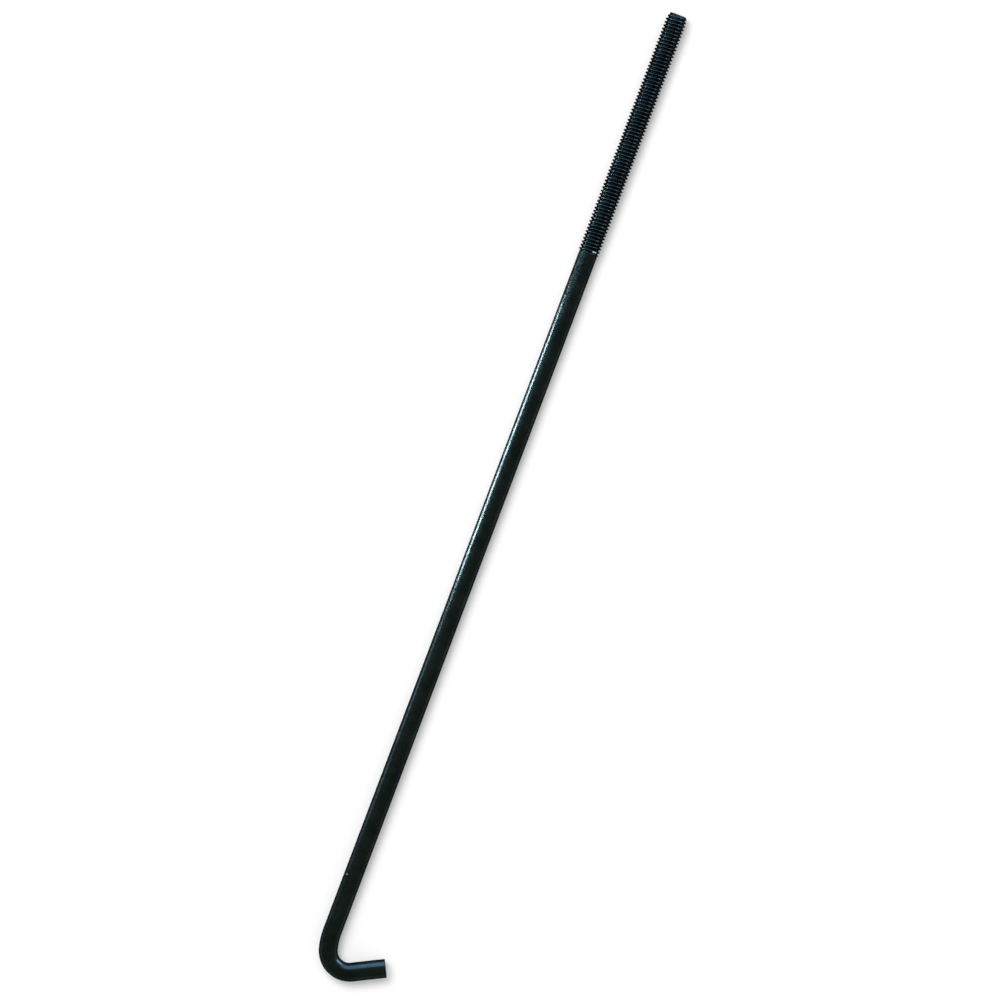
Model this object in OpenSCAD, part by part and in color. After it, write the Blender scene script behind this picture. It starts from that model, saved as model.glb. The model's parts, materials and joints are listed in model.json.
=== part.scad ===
// J bolt: a steel rod with a rolled thread at one end and a hook bent back towards the shank at the other.
// It is one piece of bar, so it is one solid. It lies flat, as it comes to rest: the shank runs along Y
// with the thread towards +Y, and the hook's leg points to +X. All lengths are in millimetres.

/* [Rod] */
// Overall length, from the threaded end's face to the outside of the bend
overall_l = 450; // [300:1:600]
// Diameter of the bar: the plain shank and the hook's leg
shank_d = 8.4; // [6:0.1:9.2]

/* [Thread] */
// Diameter over the thread's crests, which rolling raises above the bar
thread_d = 9.5; // [9.4:0.1:12]
// Distance from one crest to the next
thread_pitch = 1.5875; // [1:0.0125:2]
// Turns of thread, from the end face to the plain shank
thread_turns = 71; // [20:1:100]
// How far the crests fall away at the end face, where the thread starts
tip_fall = 0.8; // [0.4:0.1:1.2]
// Length over which they rise from there to their full height
tip_rise_l = 3.2; // [0.4:0.1:5]

/* [Hook] */
// Angle that the bar is turned through, from the shank to the leg
bend_angle = 117; // [95:0.5:130]
// Centreline radius of the tight bend round the former
bend_r = 9.4; // [8:0.1:14]
// Centreline radius of the slow bow that leads into the tight bend
bow_r = 30.7; // [20:0.1:60]
// Part of the angle that the slow bow takes
bow_angle = 15; // [5:1:25]
// How far the tight bend draws the bar's diameter down
bend_drawn = 0.1; // [0.06:0.02:0.3]
// Straight length of the leg beyond the bend
leg_l = 15; // [8:0.1:30]
// Broken edge round the leg's sawn end
leg_chamfer = 0.2; // [0.1:0.1:0.6]

/* [Hidden] */
$fn = 96;
shank_r = shank_d / 2;
thread_r = thread_d / 2;
thread_l = thread_turns * thread_pitch;
drawn_r = shank_r - bend_drawn / 2;
// The last turn fades into the shank over one pitch
runout_l = thread_pitch;
// The tight bend runs on by this angle inside the full bar at both its ends, so that all joins in one solid
lap_angle = 2;

// Directions in the plane of the hook, after the bar has turned through angle a: ahead along the bar, and
// across it towards the inside of the bend
function ahead(a) = [sin(a), -cos(a)];
function inward(a) = [cos(a), sin(a)];

// Key points, measured from where the straight shank ends: the two arcs' centres and the leg's root
bow_centre = bow_r * inward(0);
bend_centre = bow_centre - (bow_r - bend_r) * inward(bow_angle);
leg_root = bend_centre - bend_r * inward(bend_angle);

// Furthest reach of the bend below that point, and of the leg's end to the side
bend_drop = bend_r + drawn_r - bend_centre.y;
leg_end = leg_root + leg_l * ahead(bend_angle);
leg_reach = leg_end.x + (shank_r - leg_chamfer) * abs(inward(bend_angle).x);
straight_l = overall_l - bend_drop;

// The frame's origin is the centre of the outline, on the surface that the bolt lies on
middle_x = (leg_reach - thread_r) / 2;
middle_y = (straight_l - bend_drop) / 2;

// Plain shank and threaded end, turned in one profile along +Y: the bar, the runout where the last turn
// fades in, the full thread at its crests, and the tapered start
module rod() {
    thread_y = straight_l - thread_l;
    rotate([-90, 0, 0])
        rotate_extrude()
            polygon([
                [0, 0],
                [shank_r, 0],
                [shank_r, thread_y],
                [thread_r, thread_y + runout_l],
                [thread_r, straight_l - tip_rise_l],
                [thread_r - tip_fall, straight_l],
                [0, straight_l]
            ]);
}

// Bar of radius bar_r bent about a centre, from one turned angle to another
module bent_bar(centre, r, bar_r, from, to) {
    translate([centre.x, centre.y, 0])
        rotate([0, 0, 180 + from])
            rotate_extrude(angle = to - from)
                translate([r, 0])
                    circle(r = bar_r);
}

// Straight leg that ends the hook, with its sawn end's edge broken
module leg() {
    translate([leg_root.x, leg_root.y, 0])
        rotate([-90, 0, bend_angle - 180])
            rotate_extrude()
                polygon([
                    [0, 0],
                    [shank_r, 0],
                    [shank_r, leg_l - leg_chamfer],
                    [shank_r - leg_chamfer, leg_l],
                    [0, leg_l]
                ]);
}

// The whole bolt, resting on its thread's crests
module j_bolt() {
    color([0.09, 0.1, 0.11])
        translate([-middle_x, -middle_y, thread_r])
            union() {
                rod();
                bent_bar(bow_centre, bow_r, shank_r, 0, bow_angle);
                bent_bar(bend_centre, bend_r, drawn_r, bow_angle - lap_angle, bend_angle + lap_angle);
                leg();
            }
}

j_bolt();
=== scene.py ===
# %% [markdown]
# # A J bolt in Blender
# A J bolt is one steel bar: a thread is rolled on one end for a nut, and the other end is bent back into
# a hook that grips a rod, a pipe or the rim of a roof sheet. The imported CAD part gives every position
# here, and this script gives the part its real thread, its skin of black oxide, a floor, lamps and a
# camera. Lengths on the bolt are written in millimetres and turned to metres on the spot.

import json
import math

import bmesh
import bpy
from mathutils import Matrix, Vector


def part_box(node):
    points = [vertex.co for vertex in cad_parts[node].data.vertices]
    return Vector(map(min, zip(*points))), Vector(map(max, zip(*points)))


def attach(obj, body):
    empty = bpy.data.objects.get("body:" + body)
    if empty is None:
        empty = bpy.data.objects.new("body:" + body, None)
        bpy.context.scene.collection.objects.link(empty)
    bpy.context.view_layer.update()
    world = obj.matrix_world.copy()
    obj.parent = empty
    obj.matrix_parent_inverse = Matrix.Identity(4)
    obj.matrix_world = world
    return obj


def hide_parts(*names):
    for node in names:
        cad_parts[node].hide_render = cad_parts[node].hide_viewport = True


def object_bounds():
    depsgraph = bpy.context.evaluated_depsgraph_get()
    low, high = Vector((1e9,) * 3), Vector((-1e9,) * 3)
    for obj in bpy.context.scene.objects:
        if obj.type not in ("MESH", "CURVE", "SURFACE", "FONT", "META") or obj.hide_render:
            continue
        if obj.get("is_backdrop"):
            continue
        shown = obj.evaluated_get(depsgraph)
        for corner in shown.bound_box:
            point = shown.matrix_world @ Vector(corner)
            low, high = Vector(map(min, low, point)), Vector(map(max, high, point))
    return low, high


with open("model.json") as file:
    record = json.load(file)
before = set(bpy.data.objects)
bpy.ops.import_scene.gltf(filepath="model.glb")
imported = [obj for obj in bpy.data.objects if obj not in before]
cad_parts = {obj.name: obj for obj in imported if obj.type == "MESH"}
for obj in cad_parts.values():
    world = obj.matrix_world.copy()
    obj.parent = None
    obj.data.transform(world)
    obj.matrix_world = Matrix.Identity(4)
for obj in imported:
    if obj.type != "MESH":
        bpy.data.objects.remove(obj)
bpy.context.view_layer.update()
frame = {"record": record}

# %% [markdown]
# ## Two helpers
# Blender's shaders work in linear light, but a colour is easiest to pick and to check as an sRGB hex
# value, so one function turns hex to linear. Another adds a node with its settings and links in one call,
# which keeps a material's recipe short enough to read.

# %% Units, colours and nodes
MM = 0.001
HAIR = 1e-7


def linear(hex_colour):
    """An sRGB hex colour, such as "#8899aa", as the linear colour that a shader socket takes."""
    parts = [int(hex_colour[i:i + 2], 16) / 255 for i in (1, 3, 5)]
    return [c / 12.92 if c <= 0.04045 else ((c + 0.055) / 1.055) ** 2.4 for c in parts] + [1.0]


def add_node(tree, kind, values=None, links=None, **settings):
    """Adds one node: settings are its options, values its sockets' numbers, links what feeds a socket."""
    node = tree.nodes.new(kind)
    for name, value in settings.items():
        setattr(node, name, value)
    for name, value in (values or {}).items():
        node.inputs[name].default_value = value
    for name, source in (links or {}).items():
        tree.links.new(source, node.inputs[name])
    return node


print("mid grey in linear light:", [round(c, 3) for c in linear("#808080")])

# %% [markdown]
# ## Where the bar runs
# The record names two holds on the bolt: the thread, where the nut goes, and the hook's leg. Their
# places, radii and directions, with the part's box, fix most of the centreline: a straight shank, a
# gentle bow that starts the hook, a tight bend, and a short straight leg. The bow, the bend's radius, the
# leg's length and how far bending draws the bar down are not in the record, so they are named here.

# %% The centreline's numbers
mounts = {mount["name"]: mount for mount in frame["record"]["mounts"]}
low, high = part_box("j_bolt")
axis_x, _, axis_z = mounts["thread"]["pos_m"]
thread_r = mounts["thread"]["dims"]["r_mm"] * MM
shank_r = mounts["hook_leg"]["dims"]["r_mm"] * MM
leg_dir = Vector(mounts["hook_leg"]["axis"])
hook_angle = math.acos(-leg_dir.y)
tip_y = high.y

bow_r = 30.7 * MM
bow_angle = math.radians(15)
bend_r = 9.4 * MM
drawn_r = shank_r - 0.05 * MM
leg_l = 15 * MM

# The bend's outside is the lowest point of the part, which fixes where the shank stops being straight.
bow_middle_x = bow_r - (bow_r - bend_r) * math.cos(bow_angle)
bend_drop = (bow_r - bend_r) * math.sin(bow_angle) + bend_r + drawn_r
straight_y = low.y + bend_drop
bow_centre = Vector((axis_x + bow_r, straight_y, axis_z))
bend_centre = Vector((axis_x + bow_middle_x, low.y + bend_r + drawn_r, axis_z))
print(f"straight from y {straight_y / MM:.2f} to {tip_y / MM:.2f} mm,",
      f"hook turned {math.degrees(hook_angle):.1f} degrees")

# %% [markdown]
# ## The rolled thread
# Thread rolling presses hard dies into the bar: metal is pushed out of the grooves into crests, so the
# thread is wider than the bar it stands on, its crests are a little rounded and its roots are smooth. It
# could be faked with rings or a bump, but a real thread is a helix, and its edge shows against the floor.
# So one groove and crest are drawn as a short wire in the plane of the axis, and Spin sweeps the wire
# round the axis while it climbs one pitch a turn. A turn that climbs away while it follows the fingers of
# the right hand is a right-hand thread.

# %% The thread's numbers
pitch = 1.5875 * MM
turns = 71
thread_end_y = tip_y - turns * pitch
# The crests stay a hair inside the part's own box.
crest_r = thread_r - 0.015 * MM
# From the end face to the first crest on the hook's side.
first_crest = 0.85 * MM
# Flats at the top and the bottom of the 60 degree groove, and the rounding of their corners.
crest_flat = 0.22 * pitch
root_flat = 0.125 * pitch
crest_rounding = 0.12 * MM
root_rounding = 0.07 * MM
depth = (pitch - crest_flat - root_flat) / 2 / math.tan(math.radians(30))
print(f"thread from y {thread_end_y / MM:.2f} mm up, {depth / MM:.2f} mm deep")

# %% Draw the wire for one pitch
# The sweep starts two turns below the thread's end and stops past the tip, and the ends are cut later.
turns_below = 2
spare_turns = 5
wire_y = thread_end_y - turns_below * pitch - first_crest

bm = bmesh.new()
wire = [
    (-pitch / 2, crest_r - depth),
    (-(pitch - root_flat) / 2, crest_r - depth),
    (-crest_flat / 2, crest_r),
    (crest_flat / 2, crest_r),
    ((pitch - root_flat) / 2, crest_r - depth),
    (pitch / 2, crest_r - depth),
]
points = [bm.verts.new((axis_x + r, wire_y + y, axis_z)) for y, r in wire]
for one, two in zip(points, points[1:]):
    bm.edges.new((one, two))
for corners, rounding in ((points[2:4], crest_rounding), ((points[1], points[4]), root_rounding)):
    bmesh.ops.bevel(bm, geom=corners, offset=rounding, offset_type="OFFSET", affect="VERTICES", segments=2,
                    profile=0.5, material=-1)
flanks = [e for e in bm.edges if abs(e.verts[0].co.x - e.verts[1].co.x) > depth / 2]
bmesh.ops.subdivide_edges(bm, edges=flanks, cuts=3)
print("wire:", len(bm.edges), "edges for one pitch")

# %% Sweep the wire into a helix and stack its turns
thread_steps = 60
weld = 0.002 * MM
bmesh.ops.spin(bm, geom=bm.verts[:] + bm.edges[:], cent=(axis_x, 0, axis_z), axis=(0, 1, 0),
               dvec=(0, pitch / thread_steps, 0), angle=math.tau, steps=thread_steps)
one_turn = bm.verts[:] + bm.edges[:] + bm.faces[:]
for turn in range(1, turns + spare_turns):
    copied = bmesh.ops.duplicate(bm, geom=one_turn)["geom"]
    bmesh.ops.translate(bm, verts=[g for g in copied if isinstance(g, bmesh.types.BMVert)],
                        vec=(0, turn * pitch, 0))
bmesh.ops.remove_doubles(bm, verts=bm.verts[:], dist=weld)
print("thread:", len(bm.verts), "vertices,", turns, "turns and", spare_turns, "to cut off")

# %% [markdown]
# ## The thread's two ends
# The thread starts thin, so that a nut goes on easily: over the first two turns the crests rise most and
# the roots a little, and the edge of the end face is broken. At the other end the groove runs out: it
# gets shallower over about a turn until it meets the plain shank. A boolean with a cone could cut the
# start, but it would leave flat, shiny bands on the crests, so both ends are shaped by moving the swept
# points in or out from the axis. Then the ends are cut square.

# %% Shape the tapered start and the runout
# How far back the start is thinned, by how much at its crests and its roots, and the end face's broken edge.
tip_rise_l = 3.2 * MM
tip_fall = 0.8 * MM
tip_root_fall = 0.3 * MM
tip_break = 0.4 * MM
runout = pitch

for vert in bm.verts:
    out = Vector((vert.co.x - axis_x, 0, vert.co.z - axis_z))
    r = out.length
    # The last turn fades into the shank on a smooth step.
    rise = min(max((vert.co.y - thread_end_y) / runout, 0), 1)
    rise = rise * rise * (3 - 2 * rise)
    target = shank_r + (r - shank_r) * rise
    # The start is thinned towards the end face. Height is 0 at a root and 1 at a crest.
    inside = max(tip_y - vert.co.y, 0)
    height = (r - crest_r + depth) / depth
    taper = max(1 - inside / tip_rise_l, 0)
    target -= taper * (tip_root_fall + (tip_fall - tip_root_fall) * height)
    target = min(target, crest_r - tip_fall - tip_break + inside)
    out *= target / r
    vert.co = (axis_x + out.x, vert.co.y, axis_z + out.z)
widest = max(math.hypot(v.co.x - axis_x, v.co.z - axis_z) for v in bm.verts)
print(f"widest at the crests: radius {widest / MM:.3f} mm")

# %% Cut both ends square


def bisect(bm, y, keep_above):
    """Cuts the whole mesh square to Y, throws one side away and returns the edges of the cut."""
    cut = bmesh.ops.bisect_plane(bm, geom=bm.verts[:] + bm.edges[:] + bm.faces[:], dist=HAIR,
                                 plane_co=(0, y, 0), plane_no=(0, 1, 0),
                                 clear_inner=keep_above, clear_outer=not keep_above)
    return [e for e in cut["geom_cut"] if isinstance(e, bmesh.types.BMEdge)]


root_rim = bisect(bm, thread_end_y, keep_above=True)
bisect(bm, tip_y, keep_above=False)
end_points = [v for v in bm.verts if abs(v.co.y - tip_y) < HAIR]
tip_face = bmesh.ops.contextual_create(bm, geom=end_points)["faces"]
print("thread end closed by", len(tip_face), "face; rim to the shank has", len(root_rim), "edges")

# %% [markdown]
# ## Shank and hook
# The rest of the bar is one circle carried along the centreline: drawn out straight for the shank, spun
# about two centres for the bow and the tight bend, and drawn out again for the leg. A curve with a round
# bevel would give the same bar, but spinning keeps every ring exactly where the bending former would
# leave it, and each ring can be drawn a little thinner through the tight bend, where the steel stretches
# on the outside.

# %% Two ways to carry a ring of edges


def draw_out(bm, ring, move, rings=1):
    """Extrudes a ring of edges by a move, in a number of equal steps, and returns the last ring."""
    for _ in range(rings):
        grown = bmesh.ops.extrude_edge_only(bm, edges=ring)["geom"]
        moved = [g for g in grown if isinstance(g, bmesh.types.BMVert)]
        bmesh.ops.translate(bm, verts=moved, vec=move / rings)
        ring = [g for g in grown if isinstance(g, bmesh.types.BMEdge)
                and g.verts[0] in moved and g.verts[1] in moved]
        ring = [e for e in ring if len(e.link_faces) == 1]
    return ring


def bend(bm, ring, centre, angle, rings, radius=None):
    """Spins a ring about an upright axis. A given radius is eased in and out over a quarter of the way."""
    for step in range(rings):
        turned = bmesh.ops.spin(bm, geom=ring + list({v for e in ring for v in e.verts}), cent=centre,
                                axis=(0, 0, 1), angle=angle / rings, steps=1)["geom_last"]
        ring = [g for g in turned if isinstance(g, bmesh.types.BMEdge)]
        verts = [g for g in turned if isinstance(g, bmesh.types.BMVert)]
        if radius:
            middle = sum((v.co for v in verts), Vector()) / len(verts)
            way = (step + 1) / rings
            share = min(4 * way, 4 * (1 - way), 1)
            target = shank_r + (radius - shank_r) * share
            for v in verts:
                v.co = middle + (v.co - middle).normalized() * target
    return ring


print("the bow turns", round(math.degrees(bow_angle)), "degrees, then the tight bend",
      round(math.degrees(hook_angle - bow_angle)))

# %% Carry a circle along the bar
ring_sides = 72
bridge_l = 0.6 * MM
edge_break = 0.2 * MM

first_ring_y = thread_end_y - bridge_l
circle = bmesh.ops.create_circle(bm, segments=ring_sides, radius=shank_r,
                                 matrix=Matrix.Translation((axis_x, first_ring_y, axis_z))
                                 @ Matrix.Rotation(math.pi / 2, 4, "X"))
ring = list({e for v in circle["verts"] for e in v.link_edges})
bmesh.ops.bridge_loops(bm, edges=root_rim + ring)
ring = draw_out(bm, ring, Vector((0, straight_y - first_ring_y, 0)), rings=60)
ring = bend(bm, ring, bow_centre, bow_angle, rings=8)
ring = bend(bm, ring, bend_centre, hook_angle - bow_angle, rings=44, radius=drawn_r)
ring = draw_out(bm, ring, leg_dir * (leg_l - edge_break), rings=4)
ring = draw_out(bm, ring, leg_dir * edge_break)
print("bar:", len(bm.faces), "faces with an open end")

# %% [markdown]
# The leg ends where the bar was sawn off, and the saw's sharp edge is broken, which catches a thin line
# of light. The last ring is closed with one face, and that face is scaled down to leave the broken edge.

# %% Close the leg and break its edge
leg_face = bmesh.ops.contextual_create(bm, geom=list({v for e in ring for v in e.verts}))["faces"][0]
bmesh.ops.scale(bm, verts=leg_face.verts[:], vec=Vector((1, 1, 1)) * (1 - edge_break / shank_r),
                space=Matrix.Translation(-leg_face.calc_center_median()))
bmesh.ops.recalc_face_normals(bm, faces=bm.faces[:])
open_edges = [e for e in bm.edges if len(e.link_faces) != 2]
print("bar:", len(bm.faces), "faces,", len(open_edges), "open edges")

# %% Shade it smooth, with sharp creases, and make it an object
crease = math.radians(30)
for face in bm.faces:
    face.smooth = True
for edge in bm.edges:
    if edge.calc_face_angle(0) > crease:
        edge.smooth = False
mesh = bpy.data.meshes.new("j_bolt_steel")
bm.to_mesh(mesh)
bm.free()
bolt = bpy.data.objects.new("j_bolt_steel", mesh)
bpy.context.scene.collection.objects.link(bolt)
print("bolt:", len(mesh.polygons), "faces")

# %% [markdown]
# ## Black oxide
# The bar is dipped in a hot salt bath that turns its skin to magnetite, a blue-black iron oxide about a
# micrometre thick, and is then oiled. The skin is far too thin to hide the drawn steel below it, so the
# bar is almost black with a blue-green cast and shines like dark metal. An image of such a bar could be
# wrapped on, but noise in real sizes holds at any distance: dents of 1.4 mm, a grain of 0.5 mm, and
# patches of drier oil of 6 mm, which tint the colour. The real grain is finer, and is drawn this coarse
# so that it shows.

# %% Patterns in real sizes, and the colour
dent_size, grain_size, oil_size = 1.4 * MM, 0.5 * MM, 6 * MM

steel = bpy.data.materials.new("black_oxide_oiled_steel")
steel.use_nodes = True
tree = steel.node_tree
shader = tree.nodes["Principled BSDF"]
place = add_node(tree, "ShaderNodeTexCoord").outputs["Object"]
dents, grain, oil = [
    add_node(tree, "ShaderNodeTexNoise", {"Scale": 1 / size, "Detail": detail, "Roughness": rough},
             {"Vector": place}).outputs["Fac"]
    for size, detail, rough in ((dent_size, 2.0, 0.5), (grain_size, 3.0, 0.6), (oil_size, 3.0, 0.6))]
colour = add_node(tree, "ShaderNodeValToRGB", links={"Fac": oil})
oiled, drier = colour.color_ramp.elements
oiled.position, oiled.color = 0.35, linear("#222a2c")
drier.position, drier.color = 0.65, linear("#2c3436")
print("oxide colour", [round(c, 4) for c in oiled.color[:3]], "to", [round(c, 4) for c in drier.color[:3]])

# %% [markdown]
# Handling changes the skin along the bar. The dents are deepest just below the thread, where the bar was
# gripped while the thread was rolled. They are faint down the rest of the shank, fainter still at the
# hook, where bending stretched the skin, and rolling pressed them nearly flat on the thread, which is
# also sleeker than the bar. The thread's colour is painted a little darker, a painted shade that sets its
# tone against the lamps. One Map Range along Y draws each of these changes, from a value before a stretch
# of the bar to a value after it.

# %% Where the work on the bar changed its skin
along_bar = add_node(tree, "ShaderNodeSeparateXYZ", links={"Vector": place}).outputs["Y"]
into_thread = (thread_end_y - MM, thread_end_y + MM)
zone = {}
for name, (start, end), before, after in (
        ("dents_left_by_rolling", into_thread, 1.0, 0.2),
        ("dents_left_by_bending", (straight_y, straight_y + 60 * MM), 0.4, 1.0),
        ("dents_made_by_grip", (straight_y + 275 * MM, straight_y + 315 * MM), 0.25, 1.0),
        # Painted shade: the thread's colour is scaled a little darker than the bar's.
        ("thread_painted_shade", into_thread, 1.0, 0.9),
        ("even_roughness", into_thread, 0.27, 0.19)):
    zone[name] = add_node(tree, "ShaderNodeMapRange",
                          {"From Min": start, "From Max": end, "To Min": before, "To Max": after},
                          {"Value": along_bar}).outputs["Result"]
left_over = add_node(tree, "ShaderNodeMath", operation="MINIMUM",
                     links={0: zone["dents_left_by_rolling"], 1: zone["dents_left_by_bending"]}).outputs[0]
uneven = add_node(tree, "ShaderNodeMath", operation="MULTIPLY",
                  links={0: left_over, 1: zone["dents_made_by_grip"]}).outputs[0]
oxide_with_thread_shade = add_node(tree, "ShaderNodeVectorMath", operation="SCALE",
                links={0: colour.outputs["Color"], "Scale": zone["thread_painted_shade"]}).outputs["Vector"]
print("skin changes in", len(zone), "ways along the bar")

# %% [markdown]
# Dents tilt the surface and also hold oil, so the same noise drives a bump and the roughness: the floor
# of a dent is sleek and its rim is dull, which breaks a reflected lamp into patches. Where the bar is
# even, the roughness is even too. The fine grain only adds a second, much shallower bump.

# %% Dents, patchy shine and grain
dent_depth = 0.22 * MM
grain_depth = 0.012 * MM
sleek, dull = 0.16, 0.38

patchy = add_node(tree, "ShaderNodeMapRange",
                  {"From Min": 0.35, "From Max": 0.65, "To Min": sleek, "To Max": dull}, {"Value": dents})
shine = add_node(tree, "ShaderNodeMix", data_type="FLOAT",
                 links={0: uneven, 2: zone["even_roughness"], 3: patchy.outputs["Result"]})
dented = add_node(tree, "ShaderNodeBump", {"Distance": dent_depth}, {"Height": dents, "Strength": uneven})
grained = add_node(tree, "ShaderNodeBump", {"Strength": 1.0, "Distance": grain_depth},
                   {"Height": grain, "Normal": dented.outputs["Normal"]})
print(f"dents {dent_depth / MM} mm deep, grain {grain_depth / MM} mm")

# %% [markdown]
# Two pale marks break the black skin. The first is a painted glint: a small pale patch on the last turn of
# the thread, where it runs out into the shank, that paints a highlight. The second is a faint fleck on the
# shank near the hook, where the oxide is rubbed off. Each is a small ellipsoid in the bar's own space with a
# soft rim, and there the surface fades from metal to a plain pale grey, which is pale from every side.

# %% A bare fleck and a painted glint
oxide_metallic = 0.94
# Each mark's centre, half its size each way, and how pale it is. The first is the painted glint on the
# thread, the second the bare fleck.
painted_glint = ((axis_x + 2.45 * MM, straight_y + 320.0 * MM, axis_z + 4.0 * MM),
        (1.5 * MM, 0.36 * MM, 1.5 * MM), 1.0)
fleck = ((axis_x - 2.84 * MM, straight_y + 25.8 * MM, axis_z + 3.1 * MM),
         (0.6 * MM, 0.5 * MM, 0.6 * MM), 0.27)

fleck_and_painted_glint = None
for centre, half_size, strength in (painted_glint, fleck):
    off = add_node(tree, "ShaderNodeVectorMath", {1: centre}, {0: place}, operation="SUBTRACT")
    off = add_node(tree, "ShaderNodeVectorMath", {1: half_size}, {0: off.outputs["Vector"]},
                   operation="DIVIDE")
    off = add_node(tree, "ShaderNodeVectorMath", links={0: off.outputs["Vector"]}, operation="LENGTH")
    spot = add_node(tree, "ShaderNodeMapRange",
                    {"From Min": 0.5, "From Max": 1.0, "To Min": strength, "To Max": 0.0},
                    {"Value": off.outputs["Value"]}, interpolation_type="SMOOTHSTEP").outputs["Result"]
    fleck_and_painted_glint = spot if fleck_and_painted_glint is None else add_node(tree, "ShaderNodeMath", links={0: fleck_and_painted_glint, 1: spot},
                                                operation="MAXIMUM").outputs[0]
# The pale grey paints the glint on the thread and the bare steel of the fleck.
fleck_and_glint_grey = add_node(tree, "ShaderNodeMix", {7: linear("#e8ecee")}, {0: fleck_and_painted_glint, 6: oxide_with_thread_shade}, data_type="RGBA")
metal = add_node(tree, "ShaderNodeMapRange", {"To Min": oxide_metallic, "To Max": 0.0}, {"Value": fleck_and_painted_glint})
print(f"burr {(painted_glint[0][1] - thread_end_y) / MM:.1f} mm into the thread,",
      f"fleck {(fleck[0][1] - straight_y) / MM:.1f} mm up the straight shank")

# %% [markdown]
# Clean metal turns white at its rim, where it is seen at a glancing angle. Oxide and oil soak up most of
# that, so the Specular Tint, which colours the rim, is a dark grey.

# %% Join the finish to the shader, attach the bolt to the root body and hide the CAD part
for socket, source in (("Base Color", fleck_and_glint_grey.outputs[2]), ("Roughness", shine.outputs[0]),
                       ("Metallic", metal.outputs["Result"]), ("Normal", grained.outputs["Normal"])):
    tree.links.new(source, shader.inputs[socket])
shader.inputs["Specular Tint"].default_value = linear("#404040")
bolt.data.materials.append(steel)
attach(bolt, "root")
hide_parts("j_bolt")
print("finish:", steel.name, "with", len(tree.nodes), "nodes")

# %% [markdown]
# ## The floor
# The bolt lies on white card. The card is diffuse, so it takes the bolt's soft shadow. For rays from the
# camera, and for those that steel or glass reflects or lets through, about a fifth of what is seen is the
# card's own white instead, which lifts it to a clean background without any more light on the steel.

# %% Lay the floor
floor_half = 3.0
own_white = 0.21

floor_mesh = bmesh.new()
bmesh.ops.create_grid(floor_mesh, x_segments=1, y_segments=1, size=floor_half)
mesh = bpy.data.meshes.new("floor")
floor_mesh.to_mesh(mesh)
floor_mesh.free()
floor = bpy.data.objects.new("floor", mesh)
bpy.context.scene.collection.objects.link(floor)
card = bpy.data.materials.new("white_card")
card.use_nodes = True
tree = card.node_tree
tree.nodes.clear()
path = add_node(tree, "ShaderNodeLightPath")
seen = path.outputs["Is Camera Ray"]
for ray in ("Is Glossy Ray", "Is Transmission Ray"):
    seen = add_node(tree, "ShaderNodeMath", links={0: seen, 1: path.outputs[ray]},
                    operation="MAXIMUM").outputs[0]
share = add_node(tree, "ShaderNodeMath", {1: own_white}, {0: seen}, operation="MULTIPLY")
matt = add_node(tree, "ShaderNodeBsdfDiffuse", {"Color": (0.9, 0.9, 0.9, 1)})
white = add_node(tree, "ShaderNodeEmission", {"Strength": 1.0})
both = add_node(tree, "ShaderNodeMixShader", links={0: share.outputs[0], 1: matt.outputs[0],
                                                    2: white.outputs[0]})
add_node(tree, "ShaderNodeOutputMaterial", links={"Surface": both.outputs[0]})
floor.data.materials.append(card)
floor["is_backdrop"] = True
print("floor:", 2 * floor_half, "m square")

# %% [markdown]
# ## The lamps
# Dark metal shows little but what it mirrors, so a black bar is lit by placing the things that it
# reflects. A straight round bar mirrors only what stands square to it, and one low lamp beside it draws
# one bright line from end to end. Six lamps are seen only in the steel, and the seventh, the fill, does
# the opposite: it lights the card from high up and casts the shadow, and the steel doesn't show it.
#
# - The window is large and soft. It gives the hook and the left of the thread their blue-green sheen.
# - The corner lamp is beyond the thread's end and picks out the crests right of the middle.
# - The side lamp is narrow and close, and draws the bright line along the middle of the shank.
# - The tail lamp is weaker, and carries that line on towards the hook.
# - The left and right lamps each light one edge of the thread's crests.

# %% A lamp that can be aimed


def add_lamp(name, aim, direction, distance, width, height, radiance, colour, mirrored=True):
    """
    A soft rectangular lamp that faces aim from a direction. Radiance 1 is as bright as white paper looks. A
    mirrored lamp shows only in reflections, and any other gives only diffuse light.
    """
    data = bpy.data.lights.new(name, "AREA")
    data.shape = "RECTANGLE"
    data.size, data.size_y = width, height
    data.energy = radiance * math.pi * width * height
    data.color = linear(colour)[:3]
    lamp = bpy.data.objects.new(name, data)
    away = Vector(direction).normalized()
    facing = away.to_track_quat("Z", "Y").to_matrix().to_4x4()
    lamp.matrix_world = Matrix.Translation(Vector(aim) + away * distance) @ facing
    lamp.visible_camera = False
    lamp.visible_diffuse = not mirrored
    lamp.visible_glossy = mirrored
    bpy.context.scene.collection.objects.link(lamp)
    print(f"{name}: {width} by {height} m at {distance} m, {data.energy:.1f} W")


print("a lamp 1 m square with radiance 1 takes", round(math.pi, 2), "W")

# %% Hang the lamps
middle = (0, 0, 0)
shank = (axis_x, 0.021, 0.007)
shank_foot = (axis_x, -0.01, 0.007)
thread = (axis_x, 0.165, 0.007)

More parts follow.
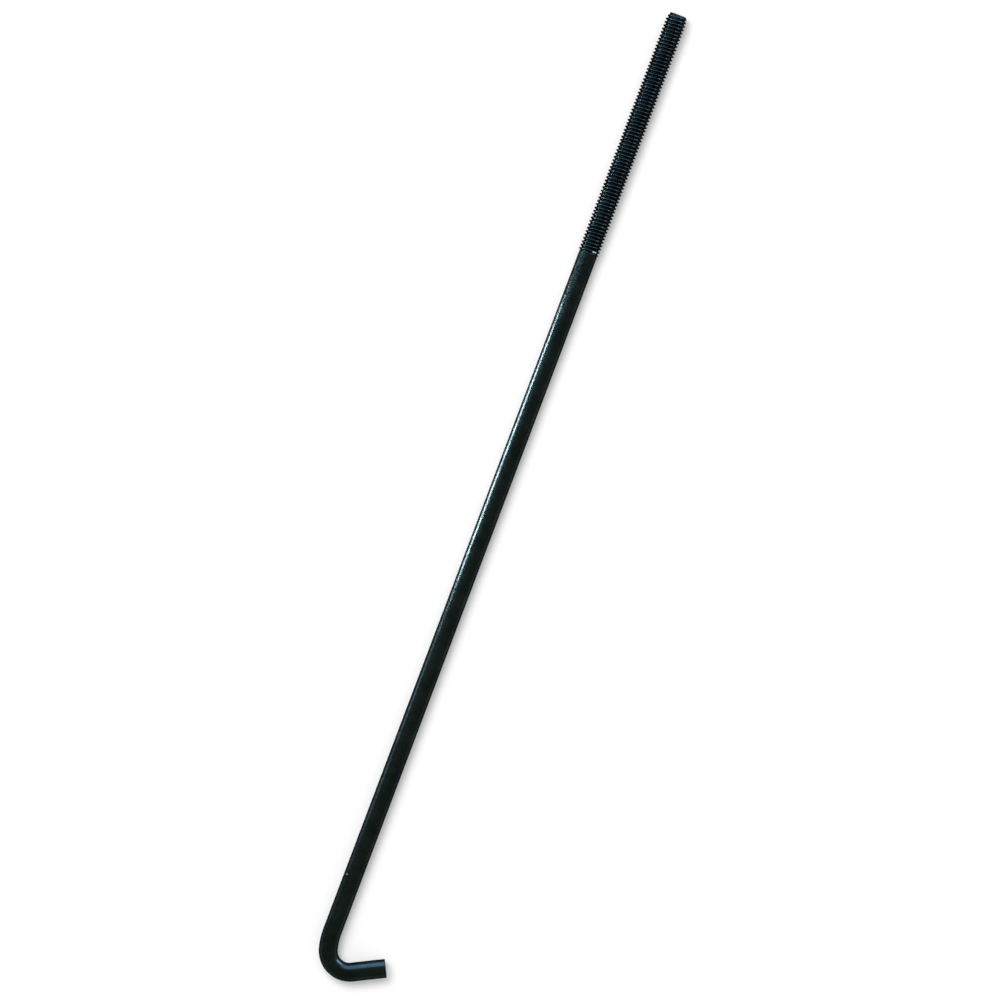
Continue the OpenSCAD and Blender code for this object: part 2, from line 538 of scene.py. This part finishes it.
add_lamp("window_lamp", middle, (-0.441, 0.735, 0.515), distance=1.0, width=1.4, height=1.02, radiance=5.9,
         colour="#a0d2fc")
add_lamp("corner_lamp", middle, (0.429, 0.879, 0.208), distance=1.0, width=0.5, height=0.34, radiance=26.0,
         colour="#d2e8ff")
add_lamp("side_lamp", shank, (-1.0, 0.0, -0.035), distance=0.1, width=0.125, height=0.02, radiance=116,
         colour="#ffffff")
add_lamp("tail_lamp", shank_foot, (-1.0, 0.0, 0.04), distance=0.4, width=0.3, height=0.05, radiance=11.0,
         colour="#ccf0ff")
add_lamp("left_lamp", thread, (-0.860, 0.496, 0.122), distance=1.0, width=0.33, height=0.2, radiance=42.0,
         colour="#b4e0ff")
add_lamp("right_lamp", thread, (0.863, 0.498, 0.087), distance=0.3, width=0.1, height=0.05, radiance=12.0,
         colour="#a0d4ff")
add_lamp("fill_lamp", middle, (-0.389, 0.235, 0.891), distance=3.0, width=1.6, height=1.6, radiance=8.4,
         colour="#ffffff", mirrored=False)

# %% [markdown]
# ## The room
# Light also comes from all round, off the walls of a plain room. Diffuse surfaces see them as light grey,
# which softens the shadow. In the steel's reflections they are darker and a little olive, which keeps the
# side away from the lamps dark without going dead black.

# %% Paint the room
world = bpy.data.worlds.new("dim_room")
world.use_nodes = True
bpy.context.scene.world = world
tree = world.node_tree
path = add_node(tree, "ShaderNodeLightPath")
walls = add_node(tree, "ShaderNodeMix", {6: (0.62, 0.62, 0.62, 1), 7: (0.25, 0.26, 0.16, 1)},
                 {0: path.outputs["Is Glossy Ray"]}, data_type="RGBA")
tree.links.new(walls.outputs[2], tree.nodes["Background"].inputs["Color"])
print("room:", world.name)

# %% [markdown]
# ## The camera
# A long lens 5 m above the bolt looks straight down on it, so there is almost no perspective and the bar
# keeps one width from end to end. The camera is turned about its own line of sight, which makes the bolt
# lean.

# %% Set the camera
lens, sensor = 409, 36
camera_height = 5.0
camera_turn = math.radians(20.69)
aim = Vector((axis_x + 1.97 * MM, straight_y + 203.5 * MM, axis_z))

camera_data = bpy.data.cameras.new("camera")
camera_data.lens = lens
camera_data.sensor_width = sensor
camera = bpy.data.objects.new("camera", camera_data)
camera.matrix_world = (Matrix.Translation(aim + Vector((0, 0, camera_height)))
                       @ Matrix.Rotation(camera_turn, 4, "Z"))
bpy.context.scene.collection.objects.link(camera)
bpy.context.scene.camera = camera
bpy.context.scene.view_settings.view_transform = "Standard"
print(f"the picture is {camera_height * sensor / lens * 1000:.0f} mm wide at the bolt")

# %% [markdown]
# ## The visual box
# The visible bolt stands in for the CAD part, and its box is printed in millimetres. The visible bolt
# stands in for the CAD part, so it may not be any larger.

# %% Print the visual box
low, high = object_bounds()
print("visual box", [round(v / MM, 2) for v in (*low, *high)], "mm")
